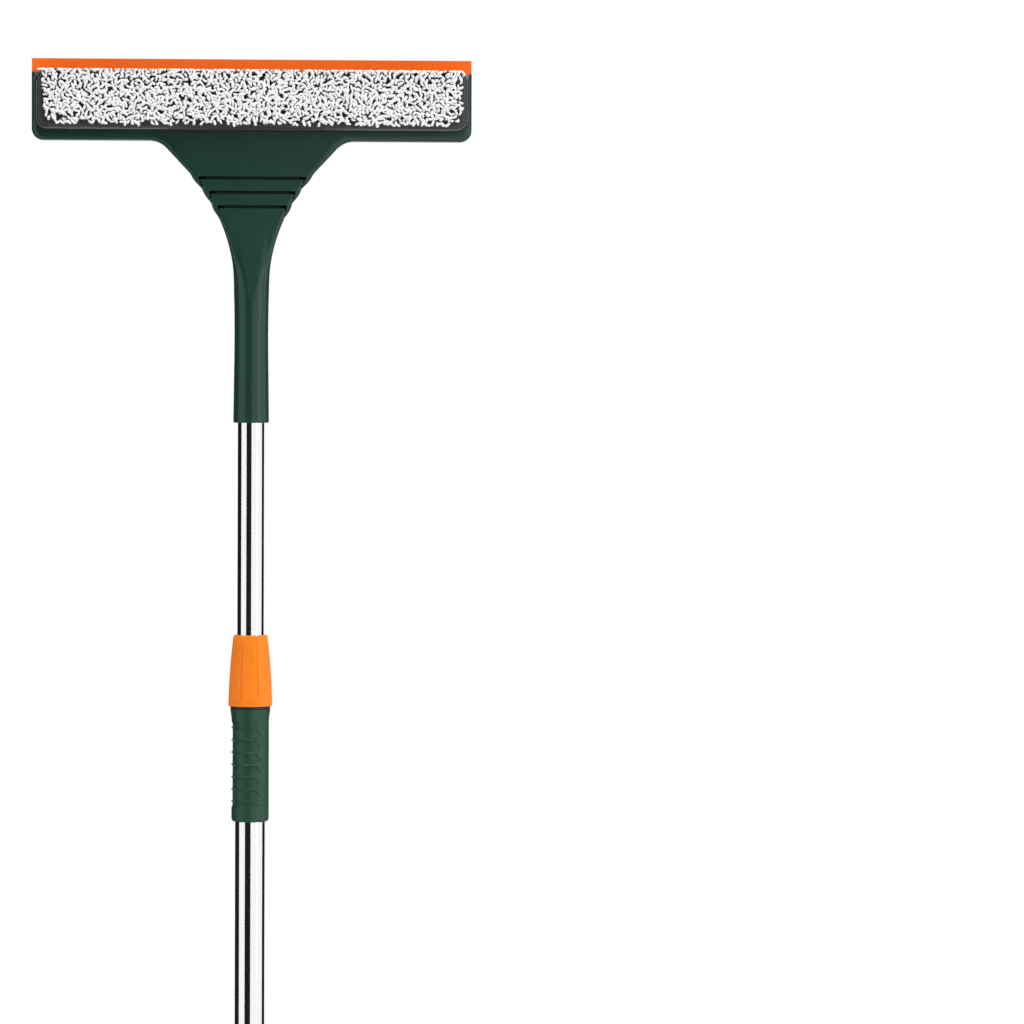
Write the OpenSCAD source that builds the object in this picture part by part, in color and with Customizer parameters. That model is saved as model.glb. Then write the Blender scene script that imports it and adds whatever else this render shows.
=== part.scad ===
// Telescopic window cleaning squeegee: a T-shaped plastic head with a rubber blade on top and a
// pile-faced pad in front, on a two-part steel pole with a twist-lock nut and a ribbed grip.
// Millimetres. +Z runs up the pole to the blade, -Y is the pad side, and z = 0 is the bottom end
// of the lower tube on the pole's axis.

/* [Pole] */
// Outside diameter of the lower tube
lower_od = 18; // [15:0.5:24]
// Wall of both steel tubes
tube_wall = 0.5; // [0.4:0.1:1]
// Lower tube in sight between the end cap and the grip
lower_show = 340; // [200:5:600]
// Upper tube in sight between the lock nut and the head, as stored
upper_show = 126; // [122:2:300]
// Upper tube below the top of the lock nut, as stored
upper_hidden = 291; // [220:5:320]

/* [Grip and lock nut] */
// Length of the rubber grip
grip_len = 68.5; // [50:0.5:110]
// Rubber outside the collet's skirt
grip_wall = 1.15; // [0.8:0.05:3]
// Height of the lock nut
nut_len = 42.2; // [36:0.2:60]
// Flats round the lock nut
nut_flats = 10; // [6:1:12]
// Finger ribs on the grip
rib_count = 7; // [3:1:9]

/* [Head] */
// Width of the head and the blade
head_w = 260; // [180:5:400]
// Head from the handle's rim to the blade's edge
head_h = 215; // [170:1:280]
// Height of the green crossbar
bar_h = 37.4; // [30:0.2:60]
// Front to back thickness of the crossbar and the neck
bar_t = 16; // [14:0.5:24]
// Round part of the handle
handle_len = 72.5; // [50:0.5:90]
// Rubber in sight above the rail
blade_show = 8; // [5:0.5:15]
// Rubber's thickness at the rail
blade_t = 3; // [2:0.1:5]

/* [Pad] */
// Depth of the foam body in front of the backing board
pad_t = 13; // [8:0.5:25]
// Depth of the pile
pile_t = 4.7; // [3:0.1:12]

/* [Hidden] */
$fn = 64;
past = 1;               // how far a cutter runs past the face that it opens
run_gap = 0.05;         // radial clearance of close running fits
turn_gap = 0.1;         // radial clearance of the nut and of the swivel
seat_gap = 0.15;        // clearance round a part set in a rebate

green = [0.10, 0.22, 0.18];
orange = [0.93, 0.42, 0.10];
steel = [0.82, 0.83, 0.85];
black = [0.12, 0.12, 0.13];
grey = [0.45, 0.46, 0.48];
white = [0.90, 0.90, 0.91];

// radii of the pole
lower_r = lower_od / 2;
lower_in = lower_r - tube_wall;
slide_gap = 0.5;        // between the two tubes
upper_r = lower_in - slide_gap;
upper_in = upper_r - tube_wall;
swage = 0.3;            // how much the lower tube narrows inside the grip
swage_len = 3;          // length of its taper
swage_r = lower_r - swage;
plug_r = lower_in - run_gap;
upper_plug_r = upper_in - run_gap;

// heights up the pole
grip_top = lower_show + grip_len;
nut_gap = 0.3;
nut_z = grip_top + nut_gap;
nut_top = nut_z + nut_len;
rim_z = nut_top + upper_show;
upper_z = nut_top - upper_hidden;

// end cap
cap_depth = 14;
cap_flange = 4;
cap_r = lower_r - 0.1;
tab_r = lower_r - 1;
tab_t = 8;
hang_z = -18;
hang_r = 3.5;
cap_pin_z = cap_depth / 2;
cap_pin_r = 1.5;

// collet, with its skirt over the lower tube and its fingers round the upper tube
skirt_in = swage_r + 0.02;
skirt_r = skirt_in + 1.2;
lip_h = 4;              // height of the grip's bottom lip
collet_z = lower_show + lip_h;
tube_end = grip_top - 4.5;
collet_in = upper_r + turn_gap;
thread_r = skirt_r + 0.3;
thread_top = nut_z + 0.37 * nut_len;
finger_top = nut_z + 0.67 * nut_len;
finger_r = upper_r + 1.6;
finger_tip_r = upper_r + 1;
slot_w = 1.5;
slot_z = thread_top - 3.5;

// grip
grip_bore = skirt_r + run_gap;
grip_r = grip_bore + grip_wall;
flare = 0.9;
flare_h = 8.5;
rib_w = 1.5;            // width of a rib
rib_up = 0.45;          // how far a rib stands out on the -X side
rib_sink = 0.02;        // depth of the band that a rib stands in
rib_shift = 0.3;        // how far it is off centre, so that it dies away towards +X
rib_pitch = 0.107 * grip_len;
rib_top = grip_top - 0.183 * grip_len;
grip_pin_z = collet_z + 3;
grip_pin_r = 1.5;

// lock nut and the ring inside it
nut_r = thread_r + 3.5;
nut_mouth = upper_r + 0.3;
nut_top_r = upper_r + 2.6;
nut_bulge = 0.35;
flat_share = 1.035;     // corner radius of the flats over the round radius
nut_bore = thread_r + turn_gap;
ring_z = nut_z + 0.475 * nut_len;
ring_top = nut_z + 0.652 * nut_len;
ring_r = finger_r + 0.45;
chamber_r = ring_r + turn_gap;
catch_h = 1;
catch_r = ring_r - 0.1;

// guide plug and the ring it swivels in
plug_spigot = 12;
plug_collar = 3;
plug_neck = 7;
plug_flange = 3;
neck_rad = upper_r - 1.5;
plug_pin_r = 1.2;
end_play = 0.2;
ring_slit = 1;

// head: heights above the handle's rim
handle_r = upper_r + 2.65;
handle_top_r = upper_r + 1.75;
rim_edge = 0.6;
socket = handle_len - 4.5;
blend_h = 22;           // the handle runs out into the flat neck over this height
rail_top = head_h - blade_show;
rail_up = 3;            // rail above the crossbar
bar_top = rail_top - rail_up;
bar_z = bar_top - bar_h;
corner_r = 7;
edge_r = 4;
neck_z = handle_len + 5.5;
neck_w = handle_top_r + 0.25;
neck_bend = 1.174 * (bar_z - neck_z);
neck_turn = 43;
flare_r = 14;
bend_x = neck_w + neck_bend;
arc_x = bend_x - neck_bend * cos(neck_turn);
arc_z = neck_z + neck_bend * sin(neck_turn);
flare_z = bar_z - flare_r;
line_z = flare_z + flare_r * sin(neck_turn);
line_x = arc_x + (line_z - arc_z) * tan(neck_turn);
flare_x = line_x + flare_r * cos(neck_turn);
line_len = (line_z - arc_z) / cos(neck_turn);

// grooves across the front of the neck and the notches they run into at its sides
groove_w = 1.4;
groove_d = 1;
groove_z = bar_z - 0.254 * (bar_z - neck_z);
groove_step = 0.096 * (bar_z - neck_z);
groove_drop = 6;
notch_r = 1.3;

// hollow in the back of the head and the cover over it
wall = 3;
ledge = 2;
cover_t = 2;
cover_in = edge_r + 0.5;
hollow_z = neck_z + 26;
pocket_y = bar_t / 2 - wall;
cover_y = bar_t / 2 - 0.1 - cover_t;
boss_r = 3.2;
screw_r = 1.3;
screw_head_r = 2.6;
screw_head_t = 1.4;
screw_end = -1;
screw_gap = 0.1;

// blade and rail
rail_h = 11;
rail_w = 7.6;
rail_wall = 1.2;
rail_z = rail_top - rail_h;
mouth_z = rail_top - 4;
rail_end = 1.6;
bead_w = rail_w - 2 * rail_wall - 0.6;
blade_tip = 1.3;
blade_gap = 0.15;
screw_x = 0.42 * head_w;
screw_in_x = 0.17 * head_w;
screw_z = (bar_z + rail_z) / 2 + 1.5;
low_screw_z = hollow_z + 9;

// pad
hook_t = 1.2;
pad_gap = 0.2;
backing_t = 1.6;
pad_w = head_w - 4;
pad_top = rail_top + 0.2;
pad_z = bar_z + 5.6;
pad_h = pad_top - pad_z;
pad_corner = 7;
backing_y = -bar_t / 2 - hook_t - pad_gap;
pad_y = backing_y - backing_t;
cloth_t = 0.8;
soft_gap = 0.3;
pad_draft = 2;
pile_w = pad_w - 6;
pile_h = pad_h - 2.8;

// half width of the neck at a height above the rim
function neck_x(h) = h < arc_z
    ? bend_x - sqrt(pow(neck_bend, 2) - pow(h - neck_z, 2))
    : arc_x + (h - arc_z) * tan(neck_turn);

module head() {
    translate([0, 0, rim_z]) children();
}

// a flat shape drawn in X and Z, made thick along Y and centred on y = 0
module plate(t) {
    rotate([90, 0, 0]) linear_extrude(t, center = true) children();
}

// the same between two Y values
module slab(y0, y1) {
    translate([0, (y0 + y1) / 2, 0]) plate(abs(y1 - y0)) children();
}

// a section drawn in Y and Z, run along X and centred on x = 0
module along_x(w) {
    rotate([90, 0, 90]) linear_extrude(w, center = true) children();
}

module ring_solid(r_in, r_out, z0, z1) {
    translate([0, 0, z0]) difference() {
        cylinder(r = r_out, h = z1 - z0);
        translate([0, 0, -past]) cylinder(r = r_in, h = z1 - z0 + 2 * past);
    }
}

// a round pin along Y at a height on the axis
module pin(r, z, y0, y1) {
    translate([0, y1, z]) rotate([90, 0, 0]) cylinder(r = r, h = y1 - y0);
}

// rectangle from its low corner, with its two bottom corners rounded
module round_foot(x, z, w, h, r) {
    translate([x, z + r]) square([w, h - r]);
    translate([x + r, z]) square([w - 2 * r, r + past]);
    translate([x + r, z + r]) circle(r);
    translate([x + w - r, z + r]) circle(r);
}

// rectangle with four rounded corners
module round_box(x, z, w, h, r) {
    translate([x, z + r]) square([w, h - 2 * r]);
    translate([x + r, z]) square([w - 2 * r, h]);
    for (cx = [x + r, x + w - r])
        for (cz = [z + r, z + h - r]) translate([cx, cz]) circle(r);
}

// ---- pole ----

module lower_tube() {
    color(steel) difference() {
        rotate_extrude() polygon([
            [lower_in, 0], [lower_r, 0],
            [lower_r, lower_show], [swage_r, lower_show + swage_len],
            [swage_r, tube_end], [swage_r - tube_wall, tube_end],
            [swage_r - tube_wall, lower_show + swage_len], [lower_in, lower_show]
        ]);
        pin(cap_pin_r + run_gap, cap_pin_z, -lower_od, lower_od);
        pin(grip_pin_r + run_gap, grip_pin_z, 0, lower_od);
    }
}

module end_cap() {
    color(black) difference() {
        union() {
            cylinder(r = plug_r, h = cap_depth);
            translate([0, 0, -cap_flange]) cylinder(r = cap_r, h = cap_flange);
            plate(tab_t) {
                translate([0, hang_z]) circle(tab_r);
                translate([-tab_r, hang_z]) square([2 * tab_r, -hang_z - cap_flange / 2]);
            }
        }
        pin(hang_r, hang_z, -tab_t, tab_t);
        pin(cap_pin_r + run_gap, cap_pin_z, -lower_od, lower_od);
    }
}

module cap_rivet() {
    color(steel) pin(cap_pin_r, cap_pin_z, -cap_r + 0.1, cap_r - 0.1);
}

module grip_sleeve() {
    rim = lower_r + 2 * run_gap;
    half = rib_w / 2 + 0.1;
    rib_seat = [[0, -half], [rib_sink, -half], [rib_sink, half], [0, half]];
    color(green) difference() {
        union() {
            rotate_extrude() polygon(concat(
                [[rim, lower_show], [grip_r - 1.5, lower_show]],
                [[grip_r - 0.45, lower_show + 0.55], [grip_r, lower_show + 1.7]],
                [for (i = [rib_count - 1 : -1 : 0], p = rib_seat) [
                    grip_r - p[0], rib_top - i * rib_pitch + p[1]
                ]],
                [[grip_r, grip_top - flare_h], [grip_r + 0.35 * flare, grip_top - 0.5 * flare_h]],
                [[grip_r + flare, grip_top - 0.6], [grip_r + flare - 0.5, grip_top]],
                [[grip_bore, grip_top], [grip_bore, collet_z], [rim, collet_z]]
            ));
            for (i = [0 : rib_count - 1])
                translate([-rib_shift, 0, rib_top - i * rib_pitch - rib_w / 2]) difference() {
                    cylinder(r = grip_r + rib_up - rib_shift, h = rib_w);
                    translate([0, 0, -past]) cylinder(r = grip_r - 0.6, h = rib_w + 2 * past);
                }
        }
        pin(grip_pin_r + run_gap, grip_pin_z, 0, 2 * grip_r);
    }
}

module collet() {
    color(black) difference() {
        rotate_extrude() polygon([
            [skirt_in, collet_z], [skirt_r, collet_z],
            [skirt_r, grip_top], [thread_r, grip_top + 0.1],
            [thread_r, thread_top], [finger_r, thread_top],
            [finger_tip_r, finger_top], [collet_in, finger_top],
            [collet_in, tube_end + 0.3], [skirt_in, tube_end + 0.3]
        ]);
        for (a = [45, 135]) rotate([0, 0, a])
            translate([-lower_od, -slot_w / 2, slot_z])
                cube([2 * lower_od, slot_w, finger_top - slot_z + past]);
        pin(grip_pin_r + run_gap, grip_pin_z, 0, lower_od);
    }
}

module sleeve_rivet() {
    color(steel) pin(grip_pin_r, grip_pin_z, upper_r + 0.25, grip_r - 0.15);
}

module clamp_ring() {
    slope = (finger_r - finger_tip_r) / (finger_top - thread_top);
    in_low = finger_r - slope * (ring_z - thread_top) + turn_gap;
    in_high = finger_r - slope * (ring_top - thread_top) + turn_gap;
    color(steel) rotate_extrude() polygon([
        [in_low, ring_z], [ring_r, ring_z], [ring_r, ring_top], [in_high, ring_top]
    ]);
}

// outside radius of the nut at a share of its height
function nut_rad(s) = nut_r + (nut_top_r - nut_r) * s + nut_bulge * sin(180 * s);

module lock_nut() {
    steps = [0, 0.25, 0.5, 0.75, 1];
    color(orange) difference() {
        translate([0, 0, nut_z]) intersection() {
            rotate_extrude() polygon(concat(
                [[0, 0], [nut_r - 0.4, 0]],
                [[nut_r, 0.5]],
                [for (s = [0.25, 0.5, 0.75]) [nut_rad(s), s * nut_len]],
                [[nut_top_r, nut_len - 0.5], [nut_top_r - 0.4, nut_len], [0, nut_len]]
            ));
            union() for (i = [0 : 3]) translate([0, 0, steps[i] * nut_len])
                cylinder(
                    r1 = flat_share * nut_rad(steps[i]),
                    r2 = flat_share * nut_rad(steps[i + 1]),
                    h = nut_len / 4, $fn = nut_flats
                );
        }
        rotate_extrude() polygon([
            [0, nut_z - past], [nut_bore, nut_z - past],
            [nut_bore, ring_z - end_play - catch_h], [catch_r, ring_z - end_play - catch_h],
            [catch_r, ring_z - end_play], [chamber_r, ring_z - end_play],
            [chamber_r, ring_top + turn_gap], [finger_tip_r + 0.3, ring_top + turn_gap],
            [finger_tip_r + 0.3, finger_top + 4], [nut_mouth, finger_top + 5],
            [nut_mouth, nut_top + past], [0, nut_top + past]
        ]);
    }
}

module guide_ring() {
    low = upper_z - plug_collar - plug_neck + end_play;
    high = upper_z - plug_collar - end_play;
    color(white) difference() {
        ring_solid(neck_rad + turn_gap, plug_r, low, high);
        translate([0, -ring_slit / 2, low - past]) cube([lower_od, ring_slit, high - low + 2 * past]);
    }
}

module upper_tube() {
    color(steel) difference() {
        ring_solid(upper_in, upper_r, upper_z, rim_z + socket);
        pin(plug_pin_r + run_gap, upper_z + plug_spigot / 2, -upper_r - past, upper_r + past);
        pin(cap_pin_r + run_gap, rim_z + socket - 10, 0, upper_r + past);
    }
}

module guide_plug() {
    neck_low = upper_z - plug_collar - plug_neck;
    color(black) difference() {
        union() {
            translate([0, 0, upper_z]) cylinder(r = upper_plug_r, h = plug_spigot);
            translate([0, 0, upper_z - plug_collar]) cylinder(r = upper_r, h = plug_collar);
            translate([0, 0, neck_low]) cylinder(r = neck_rad, h = plug_neck);
            translate([0, 0, neck_low - plug_flange])
                cylinder(r1 = upper_r - 0.8, r2 = upper_r + 0.2, h = plug_flange);
        }
        pin(plug_pin_r + run_gap, upper_z + plug_spigot / 2, -upper_r, upper_r);
    }
}

module plug_rivet() {
    color(steel) pin(plug_pin_r, upper_z + plug_spigot / 2, -upper_r + 0.15, upper_r - 0.15);
}

module tip_plug() {
    color(black) difference() {
        translate([0, 0, rim_z + socket - 20]) cylinder(r = upper_plug_r, h = 20);
        pin(cap_pin_r + run_gap, rim_z + socket - 10, -upper_in + 1.4, upper_r);
    }
}

module tip_rivet() {
    color(steel) pin(cap_pin_r, rim_z + socket - 10, -upper_in + 1.5, handle_top_r - 0.1);
}

// ---- head ----

// section of a cutter that leaves an edge of radius e on both faces of the neck:
// it reaches in from x = 0 to x = depth, and flares back over the edges
module edge_section(depth) {
    half = bar_t / 2;
    difference() {
        translate([0, -half - past]) square([depth + edge_r, bar_t + 2 * past]);
        translate([depth, -half + edge_r]) square([edge_r + past, bar_t - 2 * edge_r]);
        for (s = [-1, 1]) translate([depth + edge_r, s * (half - edge_r)]) circle(edge_r);
    }
}

module spool(r) {
    rotate([90, 0, 0]) rotate_extrude() edge_section(r);
}

// the straight stretch of the neck's side, cut with the same section
module side_cut() {
    translate([arc_x, 0, arc_z]) rotate([0, neck_turn, 0])
        translate([flare_r, 0, 0]) rotate([0, 0, 180])
            linear_extrude(line_len) edge_section(flare_r);
}

module neck_plate() {
    difference() {
        translate([-flare_x, -bar_t / 2, neck_z])
            cube([2 * flare_x, bar_t, bar_z + edge_r + 4 - neck_z]);
        for (m = [0, 1]) mirror([m, 0, 0]) {
            translate([bend_x, 0, neck_z]) spool(neck_bend);
            translate([flare_x, 0, flare_z]) spool(flare_r);
            side_cut();
        }
    }
}

module crossbar() {
    intersection() {
        plate(bar_t) round_foot(-head_w / 2, bar_z, head_w, bar_h, corner_r);
        along_x(head_w) round_foot(-bar_t / 2, bar_z, bar_t, bar_h, edge_r);
        translate([0, 0, bar_z]) linear_extrude(bar_h)
            round_box(-head_w / 2, -bar_t / 2, head_w, bar_t, edge_r);
    }
}

module handle() {
    translate([0, 0, rim_edge]) cylinder(r1 = handle_r, r2 = handle_top_r, h = handle_len - rim_edge);
    cylinder(r1 = handle_r - rim_edge / 2, r2 = handle_r, h = rim_edge);
    intersection() {
        translate([0, 0, handle_len]) cylinder(r = handle_top_r, h = blend_h);
        along_x(4 * handle_r) polygon([
            [-handle_top_r, handle_len], [handle_top_r, handle_len],
            [bar_t / 2, handle_len + blend_h], [-bar_t / 2, handle_len + blend_h]
        ]);
    }
}

// outline of the hollow behind the neck and the bar, drawn in from the outside by a margin
module hollow(margin) {
    top = bar_z + cover_in + past;
    steps = 8;
    rise = (line_z - hollow_z) / steps;
    side = [for (i = [0 : steps]) [neck_x(hollow_z + i * rise) - margin, hollow_z + i * rise]];
    polygon(concat(
        side,
        [[line_x - margin, top], [-line_x + margin, top]],
        [for (i = [steps : -1 : 0]) [-side[i][0], side[i][1]]]
    ));
    translate([-head_w / 2 + margin, bar_z + margin])
        square([head_w - 2 * margin, rail_z - 1.2 - ledge - bar_z - margin + cover_in + ledge - margin]);
}

module at_screws() {
    for (x = [-screw_x, -screw_in_x, screw_in_x, screw_x]) translate([x, 0, screw_z]) children();
    translate([0, 0, low_screw_z]) children();
}

module head_body() {
    color(green) head() difference() {
        union() {
            difference() {
                union() {
                    crossbar();
                    neck_plate();
                    handle();
                }
                slab(-pocket_y, bar_t / 2 + past) hollow(cover_in + ledge);
                slab(cover_y, bar_t / 2 + past) hollow(cover_in);
            }
            at_screws() pin(boss_r, 0, -pocket_y - 0.5, cover_y);
        }
        at_screws() pin(screw_r + screw_gap, 0, screw_end - 0.5, bar_t);
        translate([0, 0, -past]) cylinder(r = upper_r + run_gap, h = socket + past + 0.2);
        pin(cap_pin_r + run_gap, socket - 10, 0, 2 * handle_r);
        translate([-head_w, -rail_w / 2 - run_gap, rail_z])
            cube([2 * head_w, rail_w + 2 * run_gap, rail_h]);
        for (i = [0 : 2]) {
            z = groove_z - i * groove_step;
            translate([-head_w / 4, -bar_t / 2 - past, z - groove_w / 2])
                cube([head_w / 2, past + groove_d, groove_w]);
            for (s = [-1, 1])
                translate([s * (neck_x(z - groove_drop) + 0.45 * notch_r), 0, z - groove_drop])
                    rotate([90, 0, 0]) cylinder(r = notch_r, h = bar_t + 2 * past, center = true);
        }
    }
}

module head_back() {
    color(green) head() difference() {
        slab(cover_y, cover_y + cover_t) hollow(cover_in + seat_gap);
        at_screws() {
            pin(screw_r + screw_gap, 0, cover_y - past, bar_t);
            pin(screw_head_r + screw_gap, 0, cover_y + cover_t - screw_head_t, bar_t);
        }
    }
}

module back_screws() {
    top = cover_y + cover_t;
    color(steel) head() at_screws() difference() {
        union() {
            pin(screw_r, 0, screw_end, top - screw_head_t + 0.1);
            pin(screw_head_r, 0, top - screw_head_t, top);
        }
        for (a = [0, 90]) rotate([0, a, 0])
            translate([-1.5, top - 0.7, -0.3]) cube([3, past, 0.6]);
    }
}

// ---- blade ----

module blade_rail() {
    half = rail_w / 2;
    color(grey) head() along_x(head_w - 2 * rail_end - 0.1) difference() {
        translate([-half, rail_z]) square([rail_w, rail_h]);
        translate([-half + rail_wall, rail_z + rail_wall])
            square([rail_w - 2 * rail_wall, mouth_z - rail_z - rail_wall]);
        translate([-blade_t / 2 - blade_gap, mouth_z - past])
            square([blade_t + 2 * blade_gap, rail_h]);
    }
}

module blade() {
    half = blade_t / 2;
    color(orange) head() {
        along_x(head_w - 2 * rail_end - 0.3) polygon([
            [-bead_w / 2, rail_z + rail_wall + blade_gap], [bead_w / 2, rail_z + rail_wall + blade_gap],
            [bead_w / 2, mouth_z - blade_gap], [half, mouth_z - blade_gap],
            [half, rail_top + 0.2], [-half, rail_top + 0.2],
            [-half, mouth_z - blade_gap], [-bead_w / 2, mouth_z - blade_gap]
        ]);
        along_x(head_w) polygon([
            [-half, rail_top + 0.1], [half, rail_top + 0.1],
            [blade_tip / 2, head_h], [-blade_tip / 2, head_h]
        ]);
    }
}

module rail_cap(side) {
    color(grey) head() translate([side * (head_w - rail_end) / 2, 0, 0])
        along_x(rail_end) round_box(-rail_w / 2, rail_z, rail_w, rail_h - 0.1, 0.8);
}

module rail_cap_left() {
    rail_cap(-1);
}

module rail_cap_right() {
    rail_cap(1);
}

// ---- pad ----

module hook_strips() {
    color(black) head() for (s = [-1, 1])
        slab(-bar_t / 2 - hook_t, -bar_t / 2)
            translate([s * head_w / 4 - 0.22 * head_w, pad_z + 4])
                square([0.44 * head_w, pad_h - 12]);
}

module pad_backing() {
    color(grey) head() slab(pad_y, backing_y)
        round_box(-pad_w / 2, pad_z, pad_w, pad_h, pad_corner);
}

// a block with rounded corners that narrows towards the front by the draft
module pad_block(y0, y1, inset) {
    hull() {
        slab(y0, y0 - 0.6 * (y0 - y1)) round_box(
            -pad_w / 2 + inset, pad_z + inset, pad_w - 2 * inset, pad_h - 2 * inset,
            pad_corner - inset, $fn = 32
        );
        slab(y0 - 0.9 * (y0 - y1), y1) round_box(
            -pad_w / 2 + inset + pad_draft, pad_z + inset + pad_draft,
            pad_w - 2 * (inset + pad_draft), pad_h - 2 * inset - pad_draft,
            pad_corner - inset, $fn = 32
        );
    }
}

module pad_sponge() {
    color(grey) head()
        pad_block(pad_y - soft_gap, pad_y - pad_t + cloth_t + soft_gap, cloth_t + soft_gap);
}

module pad_cloth() {
    color(black) head() difference() {
        pad_block(pad_y - soft_gap, pad_y - pad_t, 0);
        pad_block(pad_y + past, pad_y - pad_t + cloth_t, cloth_t);
    }
}

module pad_pile() {
    y0 = pad_y - pad_t - soft_gap;
    color(white) head() slab(y0, y0 - pile_t)
        round_box(-pile_w / 2, pad_z + 2.7, pile_w, pile_h, pad_corner - 1);
}

lower_tube();
end_cap();
cap_rivet();
grip_sleeve();
collet();
sleeve_rivet();
clamp_ring();
lock_nut();
guide_ring();
upper_tube();
guide_plug();
plug_rivet();
tip_plug();
tip_rivet();
head_body();
head_back();
back_screws();
blade_rail();
blade();
rail_cap_left();
rail_cap_right();
hook_strips();
pad_backing();
pad_sponge();
pad_cloth();
pad_pile();
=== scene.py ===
"""Looks of a telescopic window cleaning squeegee: head, blade, wash pad, lock nut, grip and pole."""
import math

import bmesh
import bpy
import numpy as np
from bpy.props import FloatProperty, FloatVectorProperty, IntProperty, PointerProperty
from mathutils import Matrix, Vector


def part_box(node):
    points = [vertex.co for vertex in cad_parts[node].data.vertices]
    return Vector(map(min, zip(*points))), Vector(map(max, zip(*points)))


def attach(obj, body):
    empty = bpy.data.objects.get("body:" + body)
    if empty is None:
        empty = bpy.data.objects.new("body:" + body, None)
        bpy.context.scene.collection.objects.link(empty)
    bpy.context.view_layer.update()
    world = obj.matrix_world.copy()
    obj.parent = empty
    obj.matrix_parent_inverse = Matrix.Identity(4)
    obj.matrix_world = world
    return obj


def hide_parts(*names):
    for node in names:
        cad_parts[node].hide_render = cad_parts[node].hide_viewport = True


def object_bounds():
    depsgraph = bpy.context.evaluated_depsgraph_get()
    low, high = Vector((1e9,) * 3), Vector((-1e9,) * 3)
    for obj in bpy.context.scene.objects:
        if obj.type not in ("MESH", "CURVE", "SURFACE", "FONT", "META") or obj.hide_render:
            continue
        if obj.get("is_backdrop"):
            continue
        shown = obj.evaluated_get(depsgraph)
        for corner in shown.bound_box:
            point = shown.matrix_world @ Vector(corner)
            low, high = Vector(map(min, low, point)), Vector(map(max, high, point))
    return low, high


bl_info = {
    "name": "Window squeegee",
    "version": (1, 0, 0),
    "blender": (4, 5, 0),
    "location": "3D View > Sidebar > Squeegee",
    "description": "Builds the pieces of a telescopic window squeegee round its frame",
    "category": "Add Mesh",
}

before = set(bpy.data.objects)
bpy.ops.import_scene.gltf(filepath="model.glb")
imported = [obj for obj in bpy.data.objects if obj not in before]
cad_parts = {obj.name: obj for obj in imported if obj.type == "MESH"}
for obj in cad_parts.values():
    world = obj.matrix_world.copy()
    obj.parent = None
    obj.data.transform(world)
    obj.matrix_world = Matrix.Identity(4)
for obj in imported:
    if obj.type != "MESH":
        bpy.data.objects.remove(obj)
FRAME_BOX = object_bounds()
RIM_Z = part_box("head_body")[0][2]
BAR_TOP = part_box("head_body")[1][2] - RIM_Z
HEAD_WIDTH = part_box("head_body")[1][0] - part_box("head_body")[0][0]
RAIL_LOW, RAIL_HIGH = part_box("blade_rail")
COVER_LOW, COVER_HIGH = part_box("head_back")
UPPER_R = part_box("upper_tube")[1][0]
LOWER_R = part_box("lower_tube")[1][0]
MM = 0.001


def length(name, mm, about):
    """A size that is given in millimetres and kept in metres."""
    return FloatProperty(
        name=name, description=about, default=mm * MM, unit="LENGTH", min=0.0, precision=5
    )


def colour(name, about, *rgb):
    return FloatVectorProperty(
        name=name, description=about, default=rgb, subtype="COLOR", size=3, min=0.0, max=1.0
    )


class HeadSizes(bpy.types.PropertyGroup):
    """Sizes of the moulded head."""
    bar_height: length("Bar height", 37.4, "Height of the crossbar")
    bar_depth: length("Bar depth", 16, "Front to back thickness of the crossbar and the neck")
    corner: length("Corner", 7, "Radius of the crossbar's bottom corners")
    edge: length("Edge", 4, "Radius along the edges of the crossbar")
    neck_edge: length("Neck edge", 2.4, "Radius along the edges of the neck")
    round_edge: length("Throat edge", 7.9, "Radius along the edges where the neck meets the handle")
    handle: length("Handle", 72.5, "Round part of the handle")
    handle_top: length("Handle top radius", 9.75, "Radius of the handle where the neck begins")
    blend: length("Run-out", 22, "Height over which the handle runs out into the flat neck")
    neck_start: length("Neck start", 78, "Where the neck begins to widen, above the rim")
    flare: length("Flare", 14, "Radius of the curve from the neck into the crossbar")
    groove: length("Groove", 1.6, "Width of the three grooves across the neck")
    groove_depth: length("Groove depth", 4.5, "Depth of the three grooves")
    notch_depth: length("Notch depth", 1.3, "Depth of the grooves where they turn down the neck's edges")
    groove_drop: length("Groove drop", 6.2, "How far the grooves fall round the neck's edges")
    swell: length("Swell", 0.75, "How far the bands between grooves swell at the neck's sides")
    step: length("Mesh step", 0.47, "Spacing of the mesh")


class PoleSizes(bpy.types.PropertyGroup):
    """Sizes of the pole, the grip and the lock nut."""
    sides: IntProperty(name="Sides", description="Steps round the tubes", default=128, min=24)
    flutes: IntProperty(name="Flutes", description="Shallow grooves down the lock nut", default=8, min=3)
    flute_depth: length("Flute depth", 0.75, "Depth of the grooves down the lock nut")
    recess: length("Recess", 0.62, "Depth of the finger panel in the grip")
    ribs: IntProperty(name="Ribs", description="Finger ribs on the grip", default=7, min=1)
    dome: length("Rivet dome", 0.35, "How far a rivet's head stands proud")


class PadSizes(bpy.types.PropertyGroup):
    """Sizes of the wash pad and its pile."""
    yarn: length("Yarn", 0.76, "Radius of a loop of yarn")
    loop: length("Loop", 3.4, "Length of a loop of yarn")
    spacing: length("Spacing", 2.05, "Distance between loops")
    inset: length("Inset", 1.0, "How far the pad stands in from its backing")
    front_edge: length("Front edge", 4.2, "Radius of the pad's front edge")
    crease: length("Crease", 0.22, "Depth of the creases in the cover")


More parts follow.
